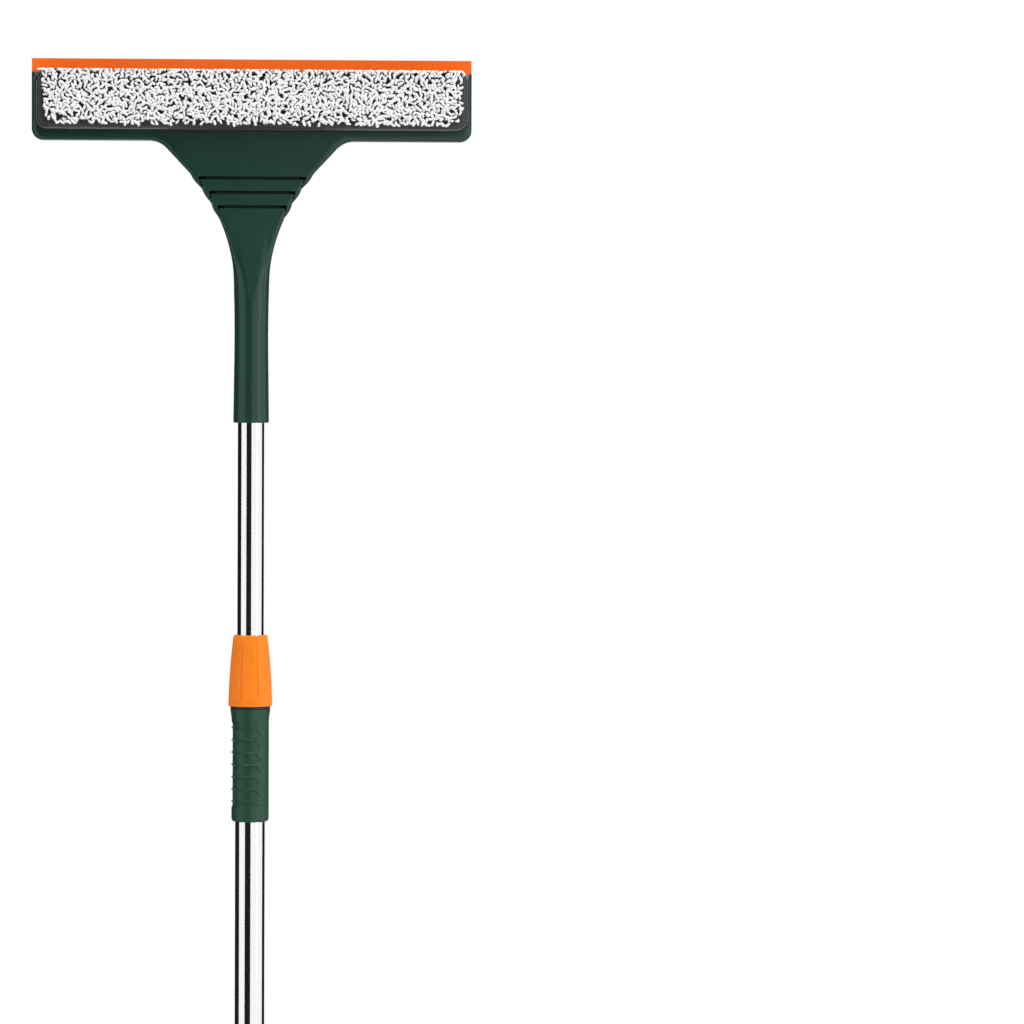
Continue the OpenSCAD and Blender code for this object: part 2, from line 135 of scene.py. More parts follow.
class Finishes(bpy.types.PropertyGroup):
    """Colours of the finishes."""
    head: colour("Head", "Glossy dark green moulding", 0.0080, 0.040, 0.029)
    grip: colour("Grip", "Green rubber", 0.014, 0.056, 0.034)
    nut: colour("Lock nut", "Orange moulding", 0.93, 0.212, 0.009)
    blade: colour("Blade", "Orange rubber", 0.92, 0.142, 0.013)
    pile: colour("Pile", "White yarn", 0.84, 0.84, 0.855)
    cover: colour("Pad cover", "Black satin cloth", 0.019, 0.019, 0.022)
    steel: colour("Steel", "Polished stainless tube", 0.92, 0.922, 0.93)
    rail: colour("Rail", "Grey metal channel", 0.33, 0.34, 0.36)


def sizes(name):
    return getattr(bpy.context.scene, name)


# ---- meshes ----

def mesh_object(name, points, faces, sharp=None):
    """A smooth mesh object, with edges kept sharp above an angle in degrees."""
    mesh = bpy.data.meshes.new(name)
    mesh.from_pydata([tuple(p) for p in points], [], [tuple(f) for f in faces])
    mesh.validate()
    mesh.update()
    mesh.shade_smooth()
    if sharp:
        mesh.set_sharp_from_angle(angle=math.radians(sharp))
    obj = bpy.data.objects.new(name, mesh)
    bpy.context.scene.collection.objects.link(obj)
    return obj


def face_outwards(obj):
    bm = bmesh.new()
    bm.from_mesh(obj.data)
    bmesh.ops.recalc_face_normals(bm, faces=bm.faces)
    bm.to_mesh(obj.data)
    bm.free()
    return obj


def loft(name, rings, closed=False, sharp=None):
    """Joins rings of points into a skin, capped at its ends unless it runs back to its first ring."""
    rings = np.asarray(rings, float)
    count, around = rings.shape[:2]
    points = rings.reshape(-1, 3)
    faces = []
    for i in range(count if closed else count - 1):
        a, b = i * around, (i + 1) % count * around
        faces += [(a + j, a + (j + 1) % around, b + (j + 1) % around, b + j) for j in range(around)]
    if not closed:
        faces.append(tuple(range(around)))
        faces.append(tuple(reversed(range((count - 1) * around, count * around))))
    return face_outwards(mesh_object(name, points, faces, sharp))


def lathe(name, profile, sides, shape=None, sharp=35):
    """Turns a closed profile of (radius, height) round Z.

    shape(angle, radius, height) may change the radius.
    """
    angle = np.arange(sides) * 2 * math.pi / sides
    rings = []
    for r, z in profile:
        radius = np.full(sides, r) if shape is None else shape(angle, r, z)
        rings.append(np.stack([radius * np.cos(angle), radius * np.sin(angle), np.full(sides, z)], 1))
    return loft(name, rings, closed=True, sharp=sharp)


def arc(cx, cz, r, start, end, steps):
    """Points of an arc in (radius, height), its angles in degrees."""
    angles = np.radians(np.linspace(start, end, steps + 1))
    return [(cx + r * math.cos(a), cz + r * math.sin(a)) for a in angles]


def skin_from_field(name, field, low, high, step):
    """Meshes the surface where a distance field is zero, then moves each point on to that surface."""
    low, high, step = (np.asarray(v, float) for v in (low, high, step))
    count = np.ceil((high - low) / step).astype(int) + 1
    axes = [low[k] + step[k] * np.arange(count[k]) for k in range(3)]
    values = np.empty(tuple(count), np.float32)
    slab = 40
    for k in range(0, count[2], slab):
        x, y, z = np.meshgrid(axes[0], axes[1], axes[2][k:k + slab], indexing="ij")
        values[:, :, k:k + slab] = field(x, y, z)
    inside = values < 0
    corners = [(i, j, k) for i in (0, 1) for j in (0, 1) for k in (0, 1)]
    cells = tuple(count - 1)

    def corner(array, c):
        return array[tuple(slice(c[a], c[a] + cells[a]) for a in range(3))]

    # a point in each cell that the surface passes through, at the mean of where it crosses the cell's edges
    tally = sum(corner(inside, c).astype(np.uint8) for c in corners)
    active = (tally > 0) & (tally < 8)
    where = np.argwhere(active)
    number = np.full(cells, -1, np.int64)
    number[active] = np.arange(len(where))
    at_corner = {c: values[tuple((where + c).T)] for c in corners}
    total, crossings = np.zeros((len(where), 3)), np.zeros(len(where))
    for c in corners:
        for a in range(3):
            if c[a]:
                continue
            d = tuple(v + (k == a) for k, v in enumerate(c))
            f0, f1 = at_corner[c], at_corner[d]
            cross = (f0 < 0) != (f1 < 0)
            share = np.where(cross, f0 / np.where(cross, f0 - f1, 1), 0)
            point = np.tile(np.array(c, float), (len(where), 1))
            point[:, a] += share
            total += np.where(cross[:, None], point, 0)
            crossings += cross
    points = low + (where + total / crossings[:, None]) * step
    # a face round each grid line that the surface crosses
    faces = []
    for a in range(3):
        b, c = (a + 1) % 3, (a + 2) % 3
        first = [slice(1, -1)] * 3
        first[a] = slice(0, -1)
        second = list(first)
        second[a] = slice(1, None)
        f0, f1 = inside[tuple(first)], inside[tuple(second)]
        base = np.argwhere(f0 != f1)
        outward = f0[tuple(base.T)]
        base[:, b] += 1
        base[:, c] += 1
        unit_b, unit_c = np.eye(3, dtype=int)[b], np.eye(3, dtype=int)[c]
        quad = [number[tuple((base - s).T)] for s in (0 * unit_b, unit_b, unit_b + unit_c, unit_c)]
        quad = np.stack(quad, 1)
        faces.append(np.where(outward[:, None], quad, quad[:, ::-1]))
    faces = np.concatenate(faces)
    # three moves along the slope on to the surface, none longer than half a cell
    small = 0.02 * MM
    for _ in range(3):
        x, y, z = points.T
        here = field(x, y, z)
        slope = np.stack([
            field(x + small, y, z) - field(x - small, y, z),
            field(x, y + small, z) - field(x, y - small, z),
            field(x, y, z + small) - field(x, y, z - small),
        ], 1) / (2 * small)
        move = here[:, None] * slope / np.maximum((slope ** 2).sum(1), 0.2)[:, None]
        far = np.linalg.norm(move, axis=1, keepdims=True)
        points -= move * np.minimum(1, 0.5 * step.min() / np.maximum(far, 1e-12))
    return mesh_object(name, points.tolist(), faces.tolist())


def place(piece, body, slot, *nodes):
    """Gives a piece its slot's finish and its body, and hides the frame nodes that it stands for."""
    piece.data.materials.clear()
    piece.data.materials.append(finish(slot))
    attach(piece, body)
    if nodes:
        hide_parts(*nodes)
    return piece


def dress(node, slot, bevel=0.0):
    """Gives a frame node a finish and soft edges."""
    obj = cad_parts[node]
    obj.data.materials.clear()
    obj.data.materials.append(finish(slot))
    if bevel:
        soft = obj.modifiers.new("soft_edges", "BEVEL")
        soft.width = bevel
        soft.segments = 2
        soft.limit_method = "ANGLE"
        soft.angle_limit = math.radians(40)


# ---- finishes ----

class Finish:
    """A material under construction: its nodes are added and wired by short calls."""

    def __init__(self, name):
        self.material = bpy.data.materials.new(name)
        self.material.use_nodes = True
        self.tree = self.material.node_tree
        self.shader = self.tree.nodes["Principled BSDF"]
        self.coords = self.add("ShaderNodeTexCoord").outputs["Object"]

    def add(self, kind, **settings):
        node = self.tree.nodes.new(kind)
        for key, value in settings.items():
            if hasattr(node, key):
                setattr(node, key, value)
            else:
                node.inputs[key.replace("_", " ")].default_value = value
        return node

    def wire(self, output, target):
        self.tree.links.new(output, target)

    def set(self, **values):
        for key, value in values.items():
            self.shader.inputs[key.replace("_", " ")].default_value = value

    def stretched(self, *scale):
        node = self.add("ShaderNodeMapping")
        node.inputs["Scale"].default_value = scale
        self.wire(self.coords, node.inputs["Vector"])
        return node.outputs["Vector"]

    def noise(self, scale, detail=3.0, rough=0.5, vector=None):
        node = self.add("ShaderNodeTexNoise", Scale=scale, Detail=detail, Roughness=rough)
        self.wire(vector or self.coords, node.inputs["Vector"])
        return node.outputs["Fac"]

    def wave(self, scale, direction, distortion=0.0):
        node = self.add("ShaderNodeTexWave", Scale=scale, Distortion=distortion)
        node.bands_direction = direction
        self.wire(self.coords, node.inputs["Vector"])
        return node.outputs["Fac"]

    def between(self, factor, low, high):
        """A number that follows a texture from low to high."""
        node = self.add("ShaderNodeMapRange")
        node.inputs["To Min"].default_value = low
        node.inputs["To Max"].default_value = high
        self.wire(factor, node.inputs["Value"])
        return node.outputs["Result"]

    def math(self, operation, a, b):
        node = self.add("ShaderNodeMath")
        node.operation = operation
        for socket, value in zip(node.inputs, (a, b)):
            if isinstance(value, (int, float)):
                socket.default_value = value
            else:
                self.wire(value, socket)
        return node.outputs["Value"]

    def tint(self, factor, dark, light):
        """Base colour between two shades, by a texture."""
        node = self.add("ShaderNodeMix")
        node.data_type = "RGBA"
        # the node's colour sockets are 6 and 7 in, and 2 out
        node.inputs[6].default_value = (*dark, 1)
        node.inputs[7].default_value = (*light, 1)
        self.wire(factor, node.inputs["Factor"])
        self.wire(node.outputs[2], self.shader.inputs["Base Color"])

    def roughness(self, factor, low, high):
        self.wire(self.between(factor, low, high), self.shader.inputs["Roughness"])

    def bump(self, height, distance, strength=1.0):
        node = self.add("ShaderNodeBump", Strength=strength, Distance=distance)
        self.wire(height, node.inputs["Height"])
        self.wire(node.outputs["Normal"], self.shader.inputs["Normal"])


def shade(rgb, factor):
    return tuple(min(1.0, c * factor) for c in rgb)


def moulded(name, rgb, rough=(0.2, 0.3), grain=0.00002, spread=0.12, gloss=0.5, glow=0.0):
    """Moulded plastic: faint flow marks, a fine grain and a soft gloss."""
    f = Finish(name)
    f.tint(f.noise(35, 4), shade(rgb, 1 - spread), shade(rgb, 1 + spread))
    f.roughness(f.noise(120, 5), *rough)
    f.bump(f.math("ADD", f.noise(2600, 2), f.math("MULTIPLY", f.noise(160, 3), 0.6)), grain)
    f.set(IOR=1.47, Specular_IOR_Level=gloss)
    if glow:
        # light passes a little way through a pale resin, red the furthest
        f.set(Subsurface_Weight=glow, Subsurface_Scale=0.006, Subsurface_Radius=(1.0, 0.28, 0.06))
    return f.material


def rubber(name, rgb, rough=(0.38, 0.52), grain=0.00004, gloss=0.4):
    """Soft rubber: a fine matt grain and slight clouding."""
    f = Finish(name)
    f.tint(f.noise(60, 5), shade(rgb, 0.9), shade(rgb, 1.1))
    f.roughness(f.noise(220, 4), *rough)
    f.bump(f.noise(3200, 3), grain)
    f.set(IOR=1.45, Specular_IOR_Level=gloss)
    return f.material


def polished_steel(name, rgb):
    """Drawn steel tube: bright, with faint lines along its length."""
    f = Finish(name)
    lines = f.noise(1, 4, 0.6, f.stretched(2200, 2200, 9))
    f.tint(f.noise(25, 3), shade(rgb, 0.96), shade(rgb, 1.03))
    f.roughness(lines, 0.05, 0.11)
    f.bump(lines, 0.000002)
    f.set(Metallic=1.0)
    return f.material


def brushed_metal(name, rgb):
    """Extruded channel: fine lines along X and a dull shine."""
    f = Finish(name)
    lines = f.noise(1, 4, 0.6, f.stretched(12, 2600, 2600))
    f.tint(lines, shade(rgb, 0.85), shade(rgb, 1.15))
    f.roughness(lines, 0.28, 0.42)
    f.bump(lines, 0.00001)
    f.set(Metallic=0.8)
    return f.material


def satin_cloth(name, rgb):
    """Woven satin: crossing threads, soft sheen and faint clouding."""
    f = Finish(name)
    across, up, through = (f.wave(520, axis, 0.6) for axis in "XZY")
    weave = f.math("ADD", across, f.math("MAXIMUM", up, through))
    f.tint(f.math("MULTIPLY", weave, f.noise(90, 3)), shade(rgb, 0.7), shade(rgb, 1.5))
    f.roughness(f.noise(140, 3), 0.34, 0.5)
    f.bump(weave, 0.00006, 0.6)
    f.set(Sheen_Weight=0.2, Sheen_Roughness=0.35, IOR=1.5)
    return f.material


def white_yarn(name, rgb):
    """Twisted yarn: fine fibres, a soft sheen, slightly uneven whiteness and painted shade at the roots."""
    f = Finish(name)
    fibres = f.math("ADD", f.noise(1900, 4, 0.7), f.math("MULTIPLY", f.wave(900, "DIAGONAL", 4), 0.5))
    f.roughness(fibres, 0.75, 0.95)
    # painted shade: the yarn darkens to near black towards its roots, deep between the loops, where shadow
    # falls
    place_in = f.add("ShaderNodeSeparateXYZ")
    f.wire(f.coords, place_in.inputs[0])
    root_shade = f.between(place_in.outputs["Y"], 1, 0)
    root_shade.node.inputs["From Min"].default_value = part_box("pad_pile")[0][1] + 1.5 * MM
    root_shade.node.inputs["From Max"].default_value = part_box("pad_pile")[0][1] + 3.2 * MM
    f.tint(f.math("MULTIPLY", root_shade, f.between(f.noise(420, 3), 0.93, 1.05)), shade(rgb, 0.03), rgb)
    f.bump(fibres, 0.00012, 0.7)
    f.set(Sheen_Weight=0.3, Sheen_Roughness=0.6, Specular_IOR_Level=0.25)
    return f.material


def hook_tape(name, rgb):
    """Hook tape: a close field of tiny points."""
    f = Finish(name)
    cells = f.add("ShaderNodeTexVoronoi", Scale=1100.0)
    f.wire(f.coords, cells.inputs["Vector"])
    f.tint(cells.outputs["Distance"], shade(rgb, 1.6), shade(rgb, 0.6))
    f.roughness(f.noise(300, 3), 0.6, 0.8)
    f.bump(cells.outputs["Distance"], 0.0002)
    return f.material


FINISHES = {}


def finish(name):
    """Each finish is made once, when it is first asked for."""
    if name not in FINISHES:
        c = sizes("squeegee_finishes")
        makers = {
            "green_plastic": lambda: moulded(name, c.head, (0.18, 0.28), gloss=0.42),
            "green_rubber": lambda: rubber(name, c.grip, (0.3, 0.42)),
            "orange_plastic": lambda: moulded(name, c.nut, (0.28, 0.4), spread=0.05, gloss=0.32, glow=0.35),
            "orange_rubber": lambda: rubber(name, c.blade, (0.5, 0.65), grain=0.00002, gloss=0.15),
            "white_pile": lambda: white_yarn(name, c.pile),
            "black_cloth": lambda: satin_cloth(name, c.cover),
            "steel": lambda: polished_steel(name, c.steel),
            "grey_aluminium": lambda: brushed_metal(name, c.rail),
            # near black: the rail caps' own colour, and painted shade where the pad's backing shows as a
            # rim round the pad
            "grey_plastic": lambda: moulded(name, shade(c.rail, 0.06), (0.35, 0.5)),
            "black_plastic": lambda: moulded(name, (0.02, 0.02, 0.022), (0.4, 0.55), grain=0.00004),
            "white_plastic": lambda: moulded(name, (0.8, 0.8, 0.78), (0.35, 0.5)),
            "hook_tape": lambda: hook_tape(name, (0.03, 0.03, 0.033)),
        }
        FINISHES[name] = makers[name]()
    return FINISHES[name]


# ---- head ----

def soft_min(a, b, k):
    """The smaller of two distances, with the corner between them rounded over a width k."""
    h = np.maximum(k - np.abs(a - b), 0) / k
    return np.minimum(a, b) - h * h * k / 4


def soft_max(a, b, k):
    return -soft_min(-a, -b, k)


def smooth(t):
    t = np.clip(t, 0, 1)
    return t * t * (3 - 2 * t)


def past_corner(a, b):
    """Distance to the corner of two walls, from the distances to each, less than zero inside both."""
    return np.hypot(np.maximum(a, 0), np.maximum(b, 0)) + np.minimum(np.maximum(a, b), 0)


def two_circle_hull(x, z, a, ra, b, rb):
    """Signed distance to the hull of two circles in a plane, the first one the larger."""
    bx, bz = b[0] - a[0], b[1] - a[1]
    px, pz = x - a[0], z - a[1]
    h = bx * bx + bz * bz
    qx = np.abs(px * bz - pz * bx) / h
    qy = (px * bx + pz * bz) / h
    d = ra - rb
    cx = math.sqrt(h - d * d)
    k = cx * qy - d * qx
    n = qx * qx + qy * qy
    middle = cx * qx + d * qy - ra
    return np.where(
        k < 0, np.sqrt(h * n) - ra,
        np.where(k > cx, np.sqrt(h * np.maximum(n + 1 - 2 * qy, 0)) - rb, middle),
    )


class HeadShape:
    """The head as a distance field, in metres, with heights from the handle's rim."""
    LEAN = math.radians(43)  # how far out the neck's sides lean under the flare
    BEND = 1.174  # radius of the bend that turns them out, as a share of the neck's rise
    FIRST_GROOVE, GROOVE_PITCH = 0.246, 0.096  # down from the crossbar, as shares of the rise
    RUN_IN = 34 * MM  # how far the neck goes on, narrowing, inside the handle
    BAR_FADE = 14 * MM  # height over which the neck's edges widen to the crossbar's
    TOP_CORNER = 1.2 * MM  # radius of the crossbar's top corners
    HANDLE_WALL = 2.65 * MM  # thickness of the handle at its rim

    def __init__(self, s):
        self.s = s
        self.half_width, self.half_depth = HEAD_WIDTH / 2, s.bar_depth / 2
        self.bar_low = BAR_TOP - s.bar_height
        rise = self.bar_low - s.neck_start
        self.bend = self.BEND * rise
        self.bend_at = (s.handle_top + 0.25 * MM + self.bend, s.neck_start)
        # the flare's circle touches the straight side that the bend leads into
        side_x = self.bend_at[0] - self.bend * math.cos(self.LEAN)
        side_z = s.neck_start + self.bend * math.sin(self.LEAN)
        flare_z = self.bar_low - s.flare
        touch_z = flare_z + s.flare * math.sin(self.LEAN)
        touch_x = side_x + (touch_z - side_z) * math.tan(self.LEAN)
        self.flare_at = (touch_x + s.flare * math.cos(self.LEAN), flare_z)
        self.groove_step = self.GROOVE_PITCH * rise
        self.grooves = [self.bar_low - (self.FIRST_GROOVE + self.GROOVE_PITCH * i) * rise for i in range(3)]
        self.socket = s.handle - 4.5 * MM

    def outline(self, x, z):
        """Distance to the outline seen from the front, less than zero inside it."""
        s = self.s
        ax = np.abs(x)
        mid = (self.bar_low + BAR_TOP) / 2
        corner = np.where(z < mid, s.corner, self.TOP_CORNER)
        past_side, past_face = ax - self.half_width, np.abs(z - mid) - s.bar_height / 2
        bar = past_corner(past_side + corner, past_face + corner) - corner
        # under its start the neck goes on, a little narrower, inside the handle
        below = np.maximum(s.neck_start - z, 0)
        cut = two_circle_hull(ax + 0.06 * below, z + below, self.bend_at, self.bend, self.flare_at, s.flare)
        # over the flare the outline follows its circle, then runs on level along the bottom of the bar
        dx, dz = ax - self.flare_at[0], z - self.flare_at[1]
        cut = np.where((dz > 0) & (dx > -0.6 * dz), np.hypot(np.minimum(dx, 0), dz) - s.flare, cut)
        neck = np.where(dx > 0, np.maximum(-cut, bar), -cut)
        neck = np.maximum(neck, z - BAR_TOP + 6 * MM)
        return np.minimum(bar, np.maximum(neck, s.neck_start - self.RUN_IN - z))

    def edge_radius(self, z):
        """Radius along the front and back edges: larger on the crossbar and at the throat."""
        s = self.s
        on_bar = smooth((z - self.bar_low + self.BAR_FADE) / self.BAR_FADE)
        at_throat = smooth((s.neck_start + self.RUN_IN - z) / self.RUN_IN) ** 1.5
        return s.neck_edge + (s.edge - s.neck_edge) * on_bar + (s.round_edge - s.neck_edge) * at_throat

    def handle(self, x, y, z):
        """The round handle, whose front and back flatten as it runs out into the neck."""
        s = self.s
        share = np.clip(z / s.handle, 0, 1)
        radius = (UPPER_R + self.HANDLE_WALL) * (1 - share) + s.handle_top * share
        fade = np.clip((z - s.handle) / s.blend, 0, 2)
        flat = np.abs(y) - radius + (radius - self.half_depth + 0.3 * MM) * fade
        handle = soft_max(np.hypot(x, y) - radius, flat, 0.7 * MM * np.minimum(fade, 1) + 1e-6)
        return np.maximum(handle, z - s.handle - 1.95 * s.blend)

    def field(self, x, y, z):
        s = self.s
        z = z - RIM_Z
        flat, edge = self.outline(x, z), self.edge_radius(z)
        # the bands between the grooves swell, most of all at the sides
        side = smooth(1 + flat / (2.6 * MM))
        level = z + s.groove_drop * side
        swell = 0
        for low in self.grooves:
            share = np.clip((level - low) / self.groove_step, 0, 1)
            swell = swell + np.sin(np.pi * share) * (0.15 + 0.85 * side)
        swell = swell * s.swell * (y < self.half_depth)
        plate = past_corner(flat + edge - swell * side, np.abs(y) - self.half_depth + edge) - edge
        plate = plate - 0.3 * swell * (1 - side) * (y < 0)
        body = soft_min(plate, self.handle(x, y, z), 2.4 * MM)
        body = soft_max(body, -z, 0.8 * MM)
        deep = s.groove_depth + (s.notch_depth - s.groove_depth) * side
        for low in self.grooves:
            groove = np.maximum(np.abs(level - low) - s.groove / 2, -(body + deep))
            body = soft_max(body, -np.maximum(groove, y - 3 * MM), 0.5 * MM)
        # behind: the recess for the cover. Inside: the socket. On top: the channel for the rail
        gap, fit = 0.2 * MM, 0.05 * MM
        recess = np.maximum(flat + s.edge + 0.5 * MM - gap, COVER_LOW[1] - y)
        recess = np.maximum(recess, COVER_LOW[2] - RIM_Z - gap - z)
        recess = np.maximum(recess, z - COVER_HIGH[2] + RIM_Z - gap)
        socket = np.maximum(np.hypot(x, y) - UPPER_R - fit, z - self.socket)
        channel = np.maximum(np.abs(y) - RAIL_HIGH[1] - fit, RAIL_LOW[2] - RIM_Z - z)
        for hollow in (recess, socket, channel):
            body = np.maximum(body, -hollow)
        return body


class SQUEEGEE_OT_head(bpy.types.Operator):
    """Mould the head: crossbar, grooved neck and handle, with the cover behind"""
    bl_idname = "squeegee.head"
    bl_label = "Head"

    def execute(self, context):
        s = sizes("squeegee_head")
        shape = HeadShape(s)
        low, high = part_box("head_body")
        pad = Vector((2 * MM,) * 3)
        step = (1.6 * s.step, 0.9 * s.step, s.step)
        head = skin_from_field("head_moulding", shape.field, low - pad, high + pad, step)
        place(head, "upper_pole", "green_plastic", "head_body")
        dress("head_back", "green_plastic", 0.35 * MM)
        dress("back_screws", "steel", 0.1 * MM)
        return {"FINISHED"}


# ---- blade ----

class SQUEEGEE_OT_blade(bpy.types.Operator):
    """Make the rubber blade in its rail"""
    bl_idname = "squeegee.blade"
    bl_label = "Blade and rail"

    def execute(self, context):
        low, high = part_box("blade")
        root_shade, tip, rounding = 1.5 * MM, 0.65 * MM, 0.25 * MM  # half thicknesses, and the edge's radius
        foot, top, slant = RAIL_HIGH[2] + 0.12 * MM, high[2], 1.2 * MM
        profile = [(-root_shade, foot), (-tip, top - rounding), (-tip + rounding, top)]
        profile += [(tip - rounding, top), (tip, top - rounding), (root_shade, foot)]
        rings = [[(x, y, z) for y, z in profile] for x in np.linspace(low[0], high[0], 60)]
        # the end at +X is cut at a slant
        rings[-1] = [(x - slant * (top - z) / (top - RAIL_HIGH[2]), y, z) for x, y, z in rings[-1]]
        blade = loft("blade_edge", rings, sharp=30)
        place(blade, "upper_pole", "orange_rubber")
        dress("blade", "orange_rubber")
        dress("blade_rail", "grey_aluminium", 0.2 * MM)
        for node in ("rail_cap_left", "rail_cap_right"):
            dress(node, "grey_plastic", 0.25 * MM)
        return {"FINISHED"}


# ---- pole ----

class SQUEEGEE_OT_tubes(bpy.types.Operator):
    """Make the two steel tubes and what is inside them"""
    bl_idname = "squeegee.tubes"
    bl_label = "Tubes"

    def execute(self, context):
        s = sizes("squeegee_pole")
        wall, lip = 0.5 * MM, 0.15 * MM
        low, high = (v[2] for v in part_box("upper_tube"))
        upper = [(UPPER_R - wall, low), (UPPER_R - lip, low), (UPPER_R, low + lip)]
        upper += [(UPPER_R, z) for z in np.linspace(low, high, 14)[1:-1]]
        upper += [(UPPER_R, high - lip), (UPPER_R - lip, high), (UPPER_R - wall, high)]
        piece = lathe("upper_tube_polished", upper, s.sides)
        place(piece, "upper_pole", "steel", "upper_tube")
        low, high = (v[2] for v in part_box("lower_tube"))
        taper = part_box("grip_sleeve")[0][2]
        narrow = LOWER_R - 0.3 * MM
        lower = [(LOWER_R - wall, low), (LOWER_R - lip, low), (LOWER_R, low + lip)]
        lower += [(LOWER_R, z) for z in np.linspace(low, taper, 12)[1:]]
        lower += [(narrow, taper + 3 * MM), (narrow, high), (narrow - wall, high)]
        lower += [(narrow - wall, taper + 3 * MM), (LOWER_R - wall, taper)]
        piece = lathe("lower_tube_polished", lower, s.sides)
        place(piece, "lower_pole", "steel", "lower_tube")
        for node in ("collet", "guide_plug", "tip_plug"):
            dress(node, "black_plastic")
        for node in ("clamp_ring", "guide_ring"):
            dress(node, "white_plastic")
        dress("plug_rivet", "steel")
        return {"FINISHED"}


class SQUEEGEE_OT_end_cap(bpy.types.Operator):
    """Make the end cap with its hanging tab"""
    bl_idname = "squeegee.end_cap"
    bl_label = "End cap"

    def execute(self, context):
        low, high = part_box("end_cap")
        plug_r, collar_r, tab_r = LOWER_R - 0.55 * MM, LOWER_R - 0.1 * MM, LOWER_R - 1 * MM
        hang_z, hole_r, tab_half, collar = -18 * MM, 3.5 * MM, 4 * MM, 4 * MM

        def field(x, y, z):
            around = np.hypot(x, y)
            plug = np.maximum(around - plug_r, np.maximum(-z - collar / 2, z - high[2]))
            ring = soft_max(around - collar_r, np.abs(z + collar / 2) - collar / 2, 1.2 * MM)
            flat = np.hypot(x, np.minimum(z - hang_z, 0)) - tab_r
            flat = np.maximum(flat, z + collar / 2)
            hole = hole_r - np.hypot(x, z - hang_z)
            tab = soft_max(soft_max(flat, np.abs(y) - tab_half, 2 * MM), hole, 1.2 * MM)
            return np.minimum(plug, soft_min(ring, tab, 1.5 * MM))

        pad = Vector((1.5 * MM,) * 3)
        cap = skin_from_field("end_cap_moulding", field, low - pad, high + pad, (0.4 * MM,) * 3)
        place(cap, "lower_pole", "black_plastic", "end_cap")
        return {"FINISHED"}


class SQUEEGEE_OT_rivets(bpy.types.Operator):
    """Make the rivets that show"""
    bl_idname = "squeegee.rivets"
    bl_label = "Rivets"

    def rivet(self, node, body, reach, both):
        """A rivet along Y at its node's height, with a domed head standing at reach from the axis."""
        s = sizes("squeegee_pole")
        low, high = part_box(node)
        r, z = (high[2] - low[2]) / 2, (high[2] + low[2]) / 2
        dome = [(r * 1.15 * math.cos(a), reach + s.dome * math.sin(a)) for a in np.linspace(0, 1.5, 6)]
        axis = 0.01 * MM
        if both:
            foot = [(radius, -along) for radius, along in reversed(dome)]
        else:
            foot = [(axis, low[1]), (r, low[1]), (r, reach)]
        turned = lathe(f"{node}_domed", foot + dome + [(axis, dome[-1][1])], 32)
        for v in turned.data.vertices:
            x, y, along = v.co
            v.co = (x, along, z + y)
        face_outwards(turned)
        place(turned, body, "steel", node)

    def execute(self, context):
        self.rivet("cap_rivet", "lower_pole", LOWER_R - 0.05 * MM, True)
        self.rivet("sleeve_rivet", "lower_pole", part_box("sleeve_rivet")[1][1] + 0.1 * MM, False)
        self.rivet("tip_rivet", "upper_pole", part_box("tip_rivet")[1][1] + 0.15 * MM, False)
        return {"FINISHED"}


class SQUEEGEE_OT_grip(bpy.types.Operator):
    """Make the rubber grip with its finger ribs"""
    bl_idname = "squeegee.grip"
    bl_label = "Grip"

    def execute(self, context):
        s = sizes("squeegee_pole")
        low, high = (v[2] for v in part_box("grip_sleeve"))
        top_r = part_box("grip_sleeve")[1][0]
        flare, spread, foot = 8.5 * MM, 0.9 * MM, 2.0 * MM
        radius = top_r - spread
        tall = high - low
        pitch, first = 0.107 * tall, high - 0.183 * tall
        panel_low, panel_high = first - (s.ribs - 0.5) * pitch, first + 0.5 * pitch
        rib_width, fade = 0.45 * MM, 1.6 * MM

        def shape(angle, r, z):
            if r < radius - 0.1 * MM or not low + foot < z < high - flare:
                return np.full(len(angle), r)
            # angles from the front, less than zero towards +X
            turn = -(np.degrees(angle) + 90 + 180) % 360 - 180
            run_out = smooth((turn + 42) / 26)
            level = z + 1.5 * MM * (1 - run_out)
            inside = smooth((level - panel_low) / fade) * smooth((panel_high - level) / fade)
            phase = (first - level) / pitch
            rib = np.exp(-((phase - np.round(phase)) * pitch / rib_width) ** 2)
            rib = rib * ((phase > -0.5) & (phase < s.ribs - 0.5))
            edge = -30 + 5 * np.cos(2 * math.pi * phase)
            panel = smooth((turn - edge) / 12) * smooth((172 - turn) / 14)
            return r - s.recess * panel * inside * (1 - 1.55 * rib)

        rim, bore = LOWER_R + 0.1 * MM, radius - 1.15 * MM
        neck, shoulder = top_r - 1.7 * MM, high - 1.2 * MM
        profile = [(rim, low)] + arc(radius - foot, low + foot, foot, -80, 0, 8)
        profile += [(radius, z) for z in np.arange(low + foot, high - flare, 0.28 * MM)[1:]]
        profile += [(radius + spread * smooth(t), high - flare * (1 - t)) for t in np.linspace(0, 0.79, 9)]
        profile += arc(top_r - 0.4 * MM, high - 1.65 * MM, 0.4 * MM, 0, 90, 3)
        profile += [(neck, shoulder), (neck, high), (bore, high), (bore, low + 4 * MM), (rim, low + 4 * MM)]
        grip = lathe("grip_rubber", profile, 180, shape, sharp=50)
        place(grip, "lower_pole", "green_rubber", "grip_sleeve")
        # a black ring in the gap between the grip and the nut: painted shade, a dark line where the nut
        # shadows the grip's top
        inner, outer, floor = neck + 0.02 * MM, top_r - 0.2 * MM, shoulder + 0.02 * MM
        ring = [(inner, floor), (outer - 0.1 * MM, floor), (outer, high - 1.0 * MM)]
        ring += [(outer, high - 0.15 * MM), (outer - 0.15 * MM, high), (inner, high)]
        gap_shade = lathe("grip_gap_shade", ring, s.sides)
        place(gap_shade, "lower_pole", "black_plastic")
        return {"FINISHED"}


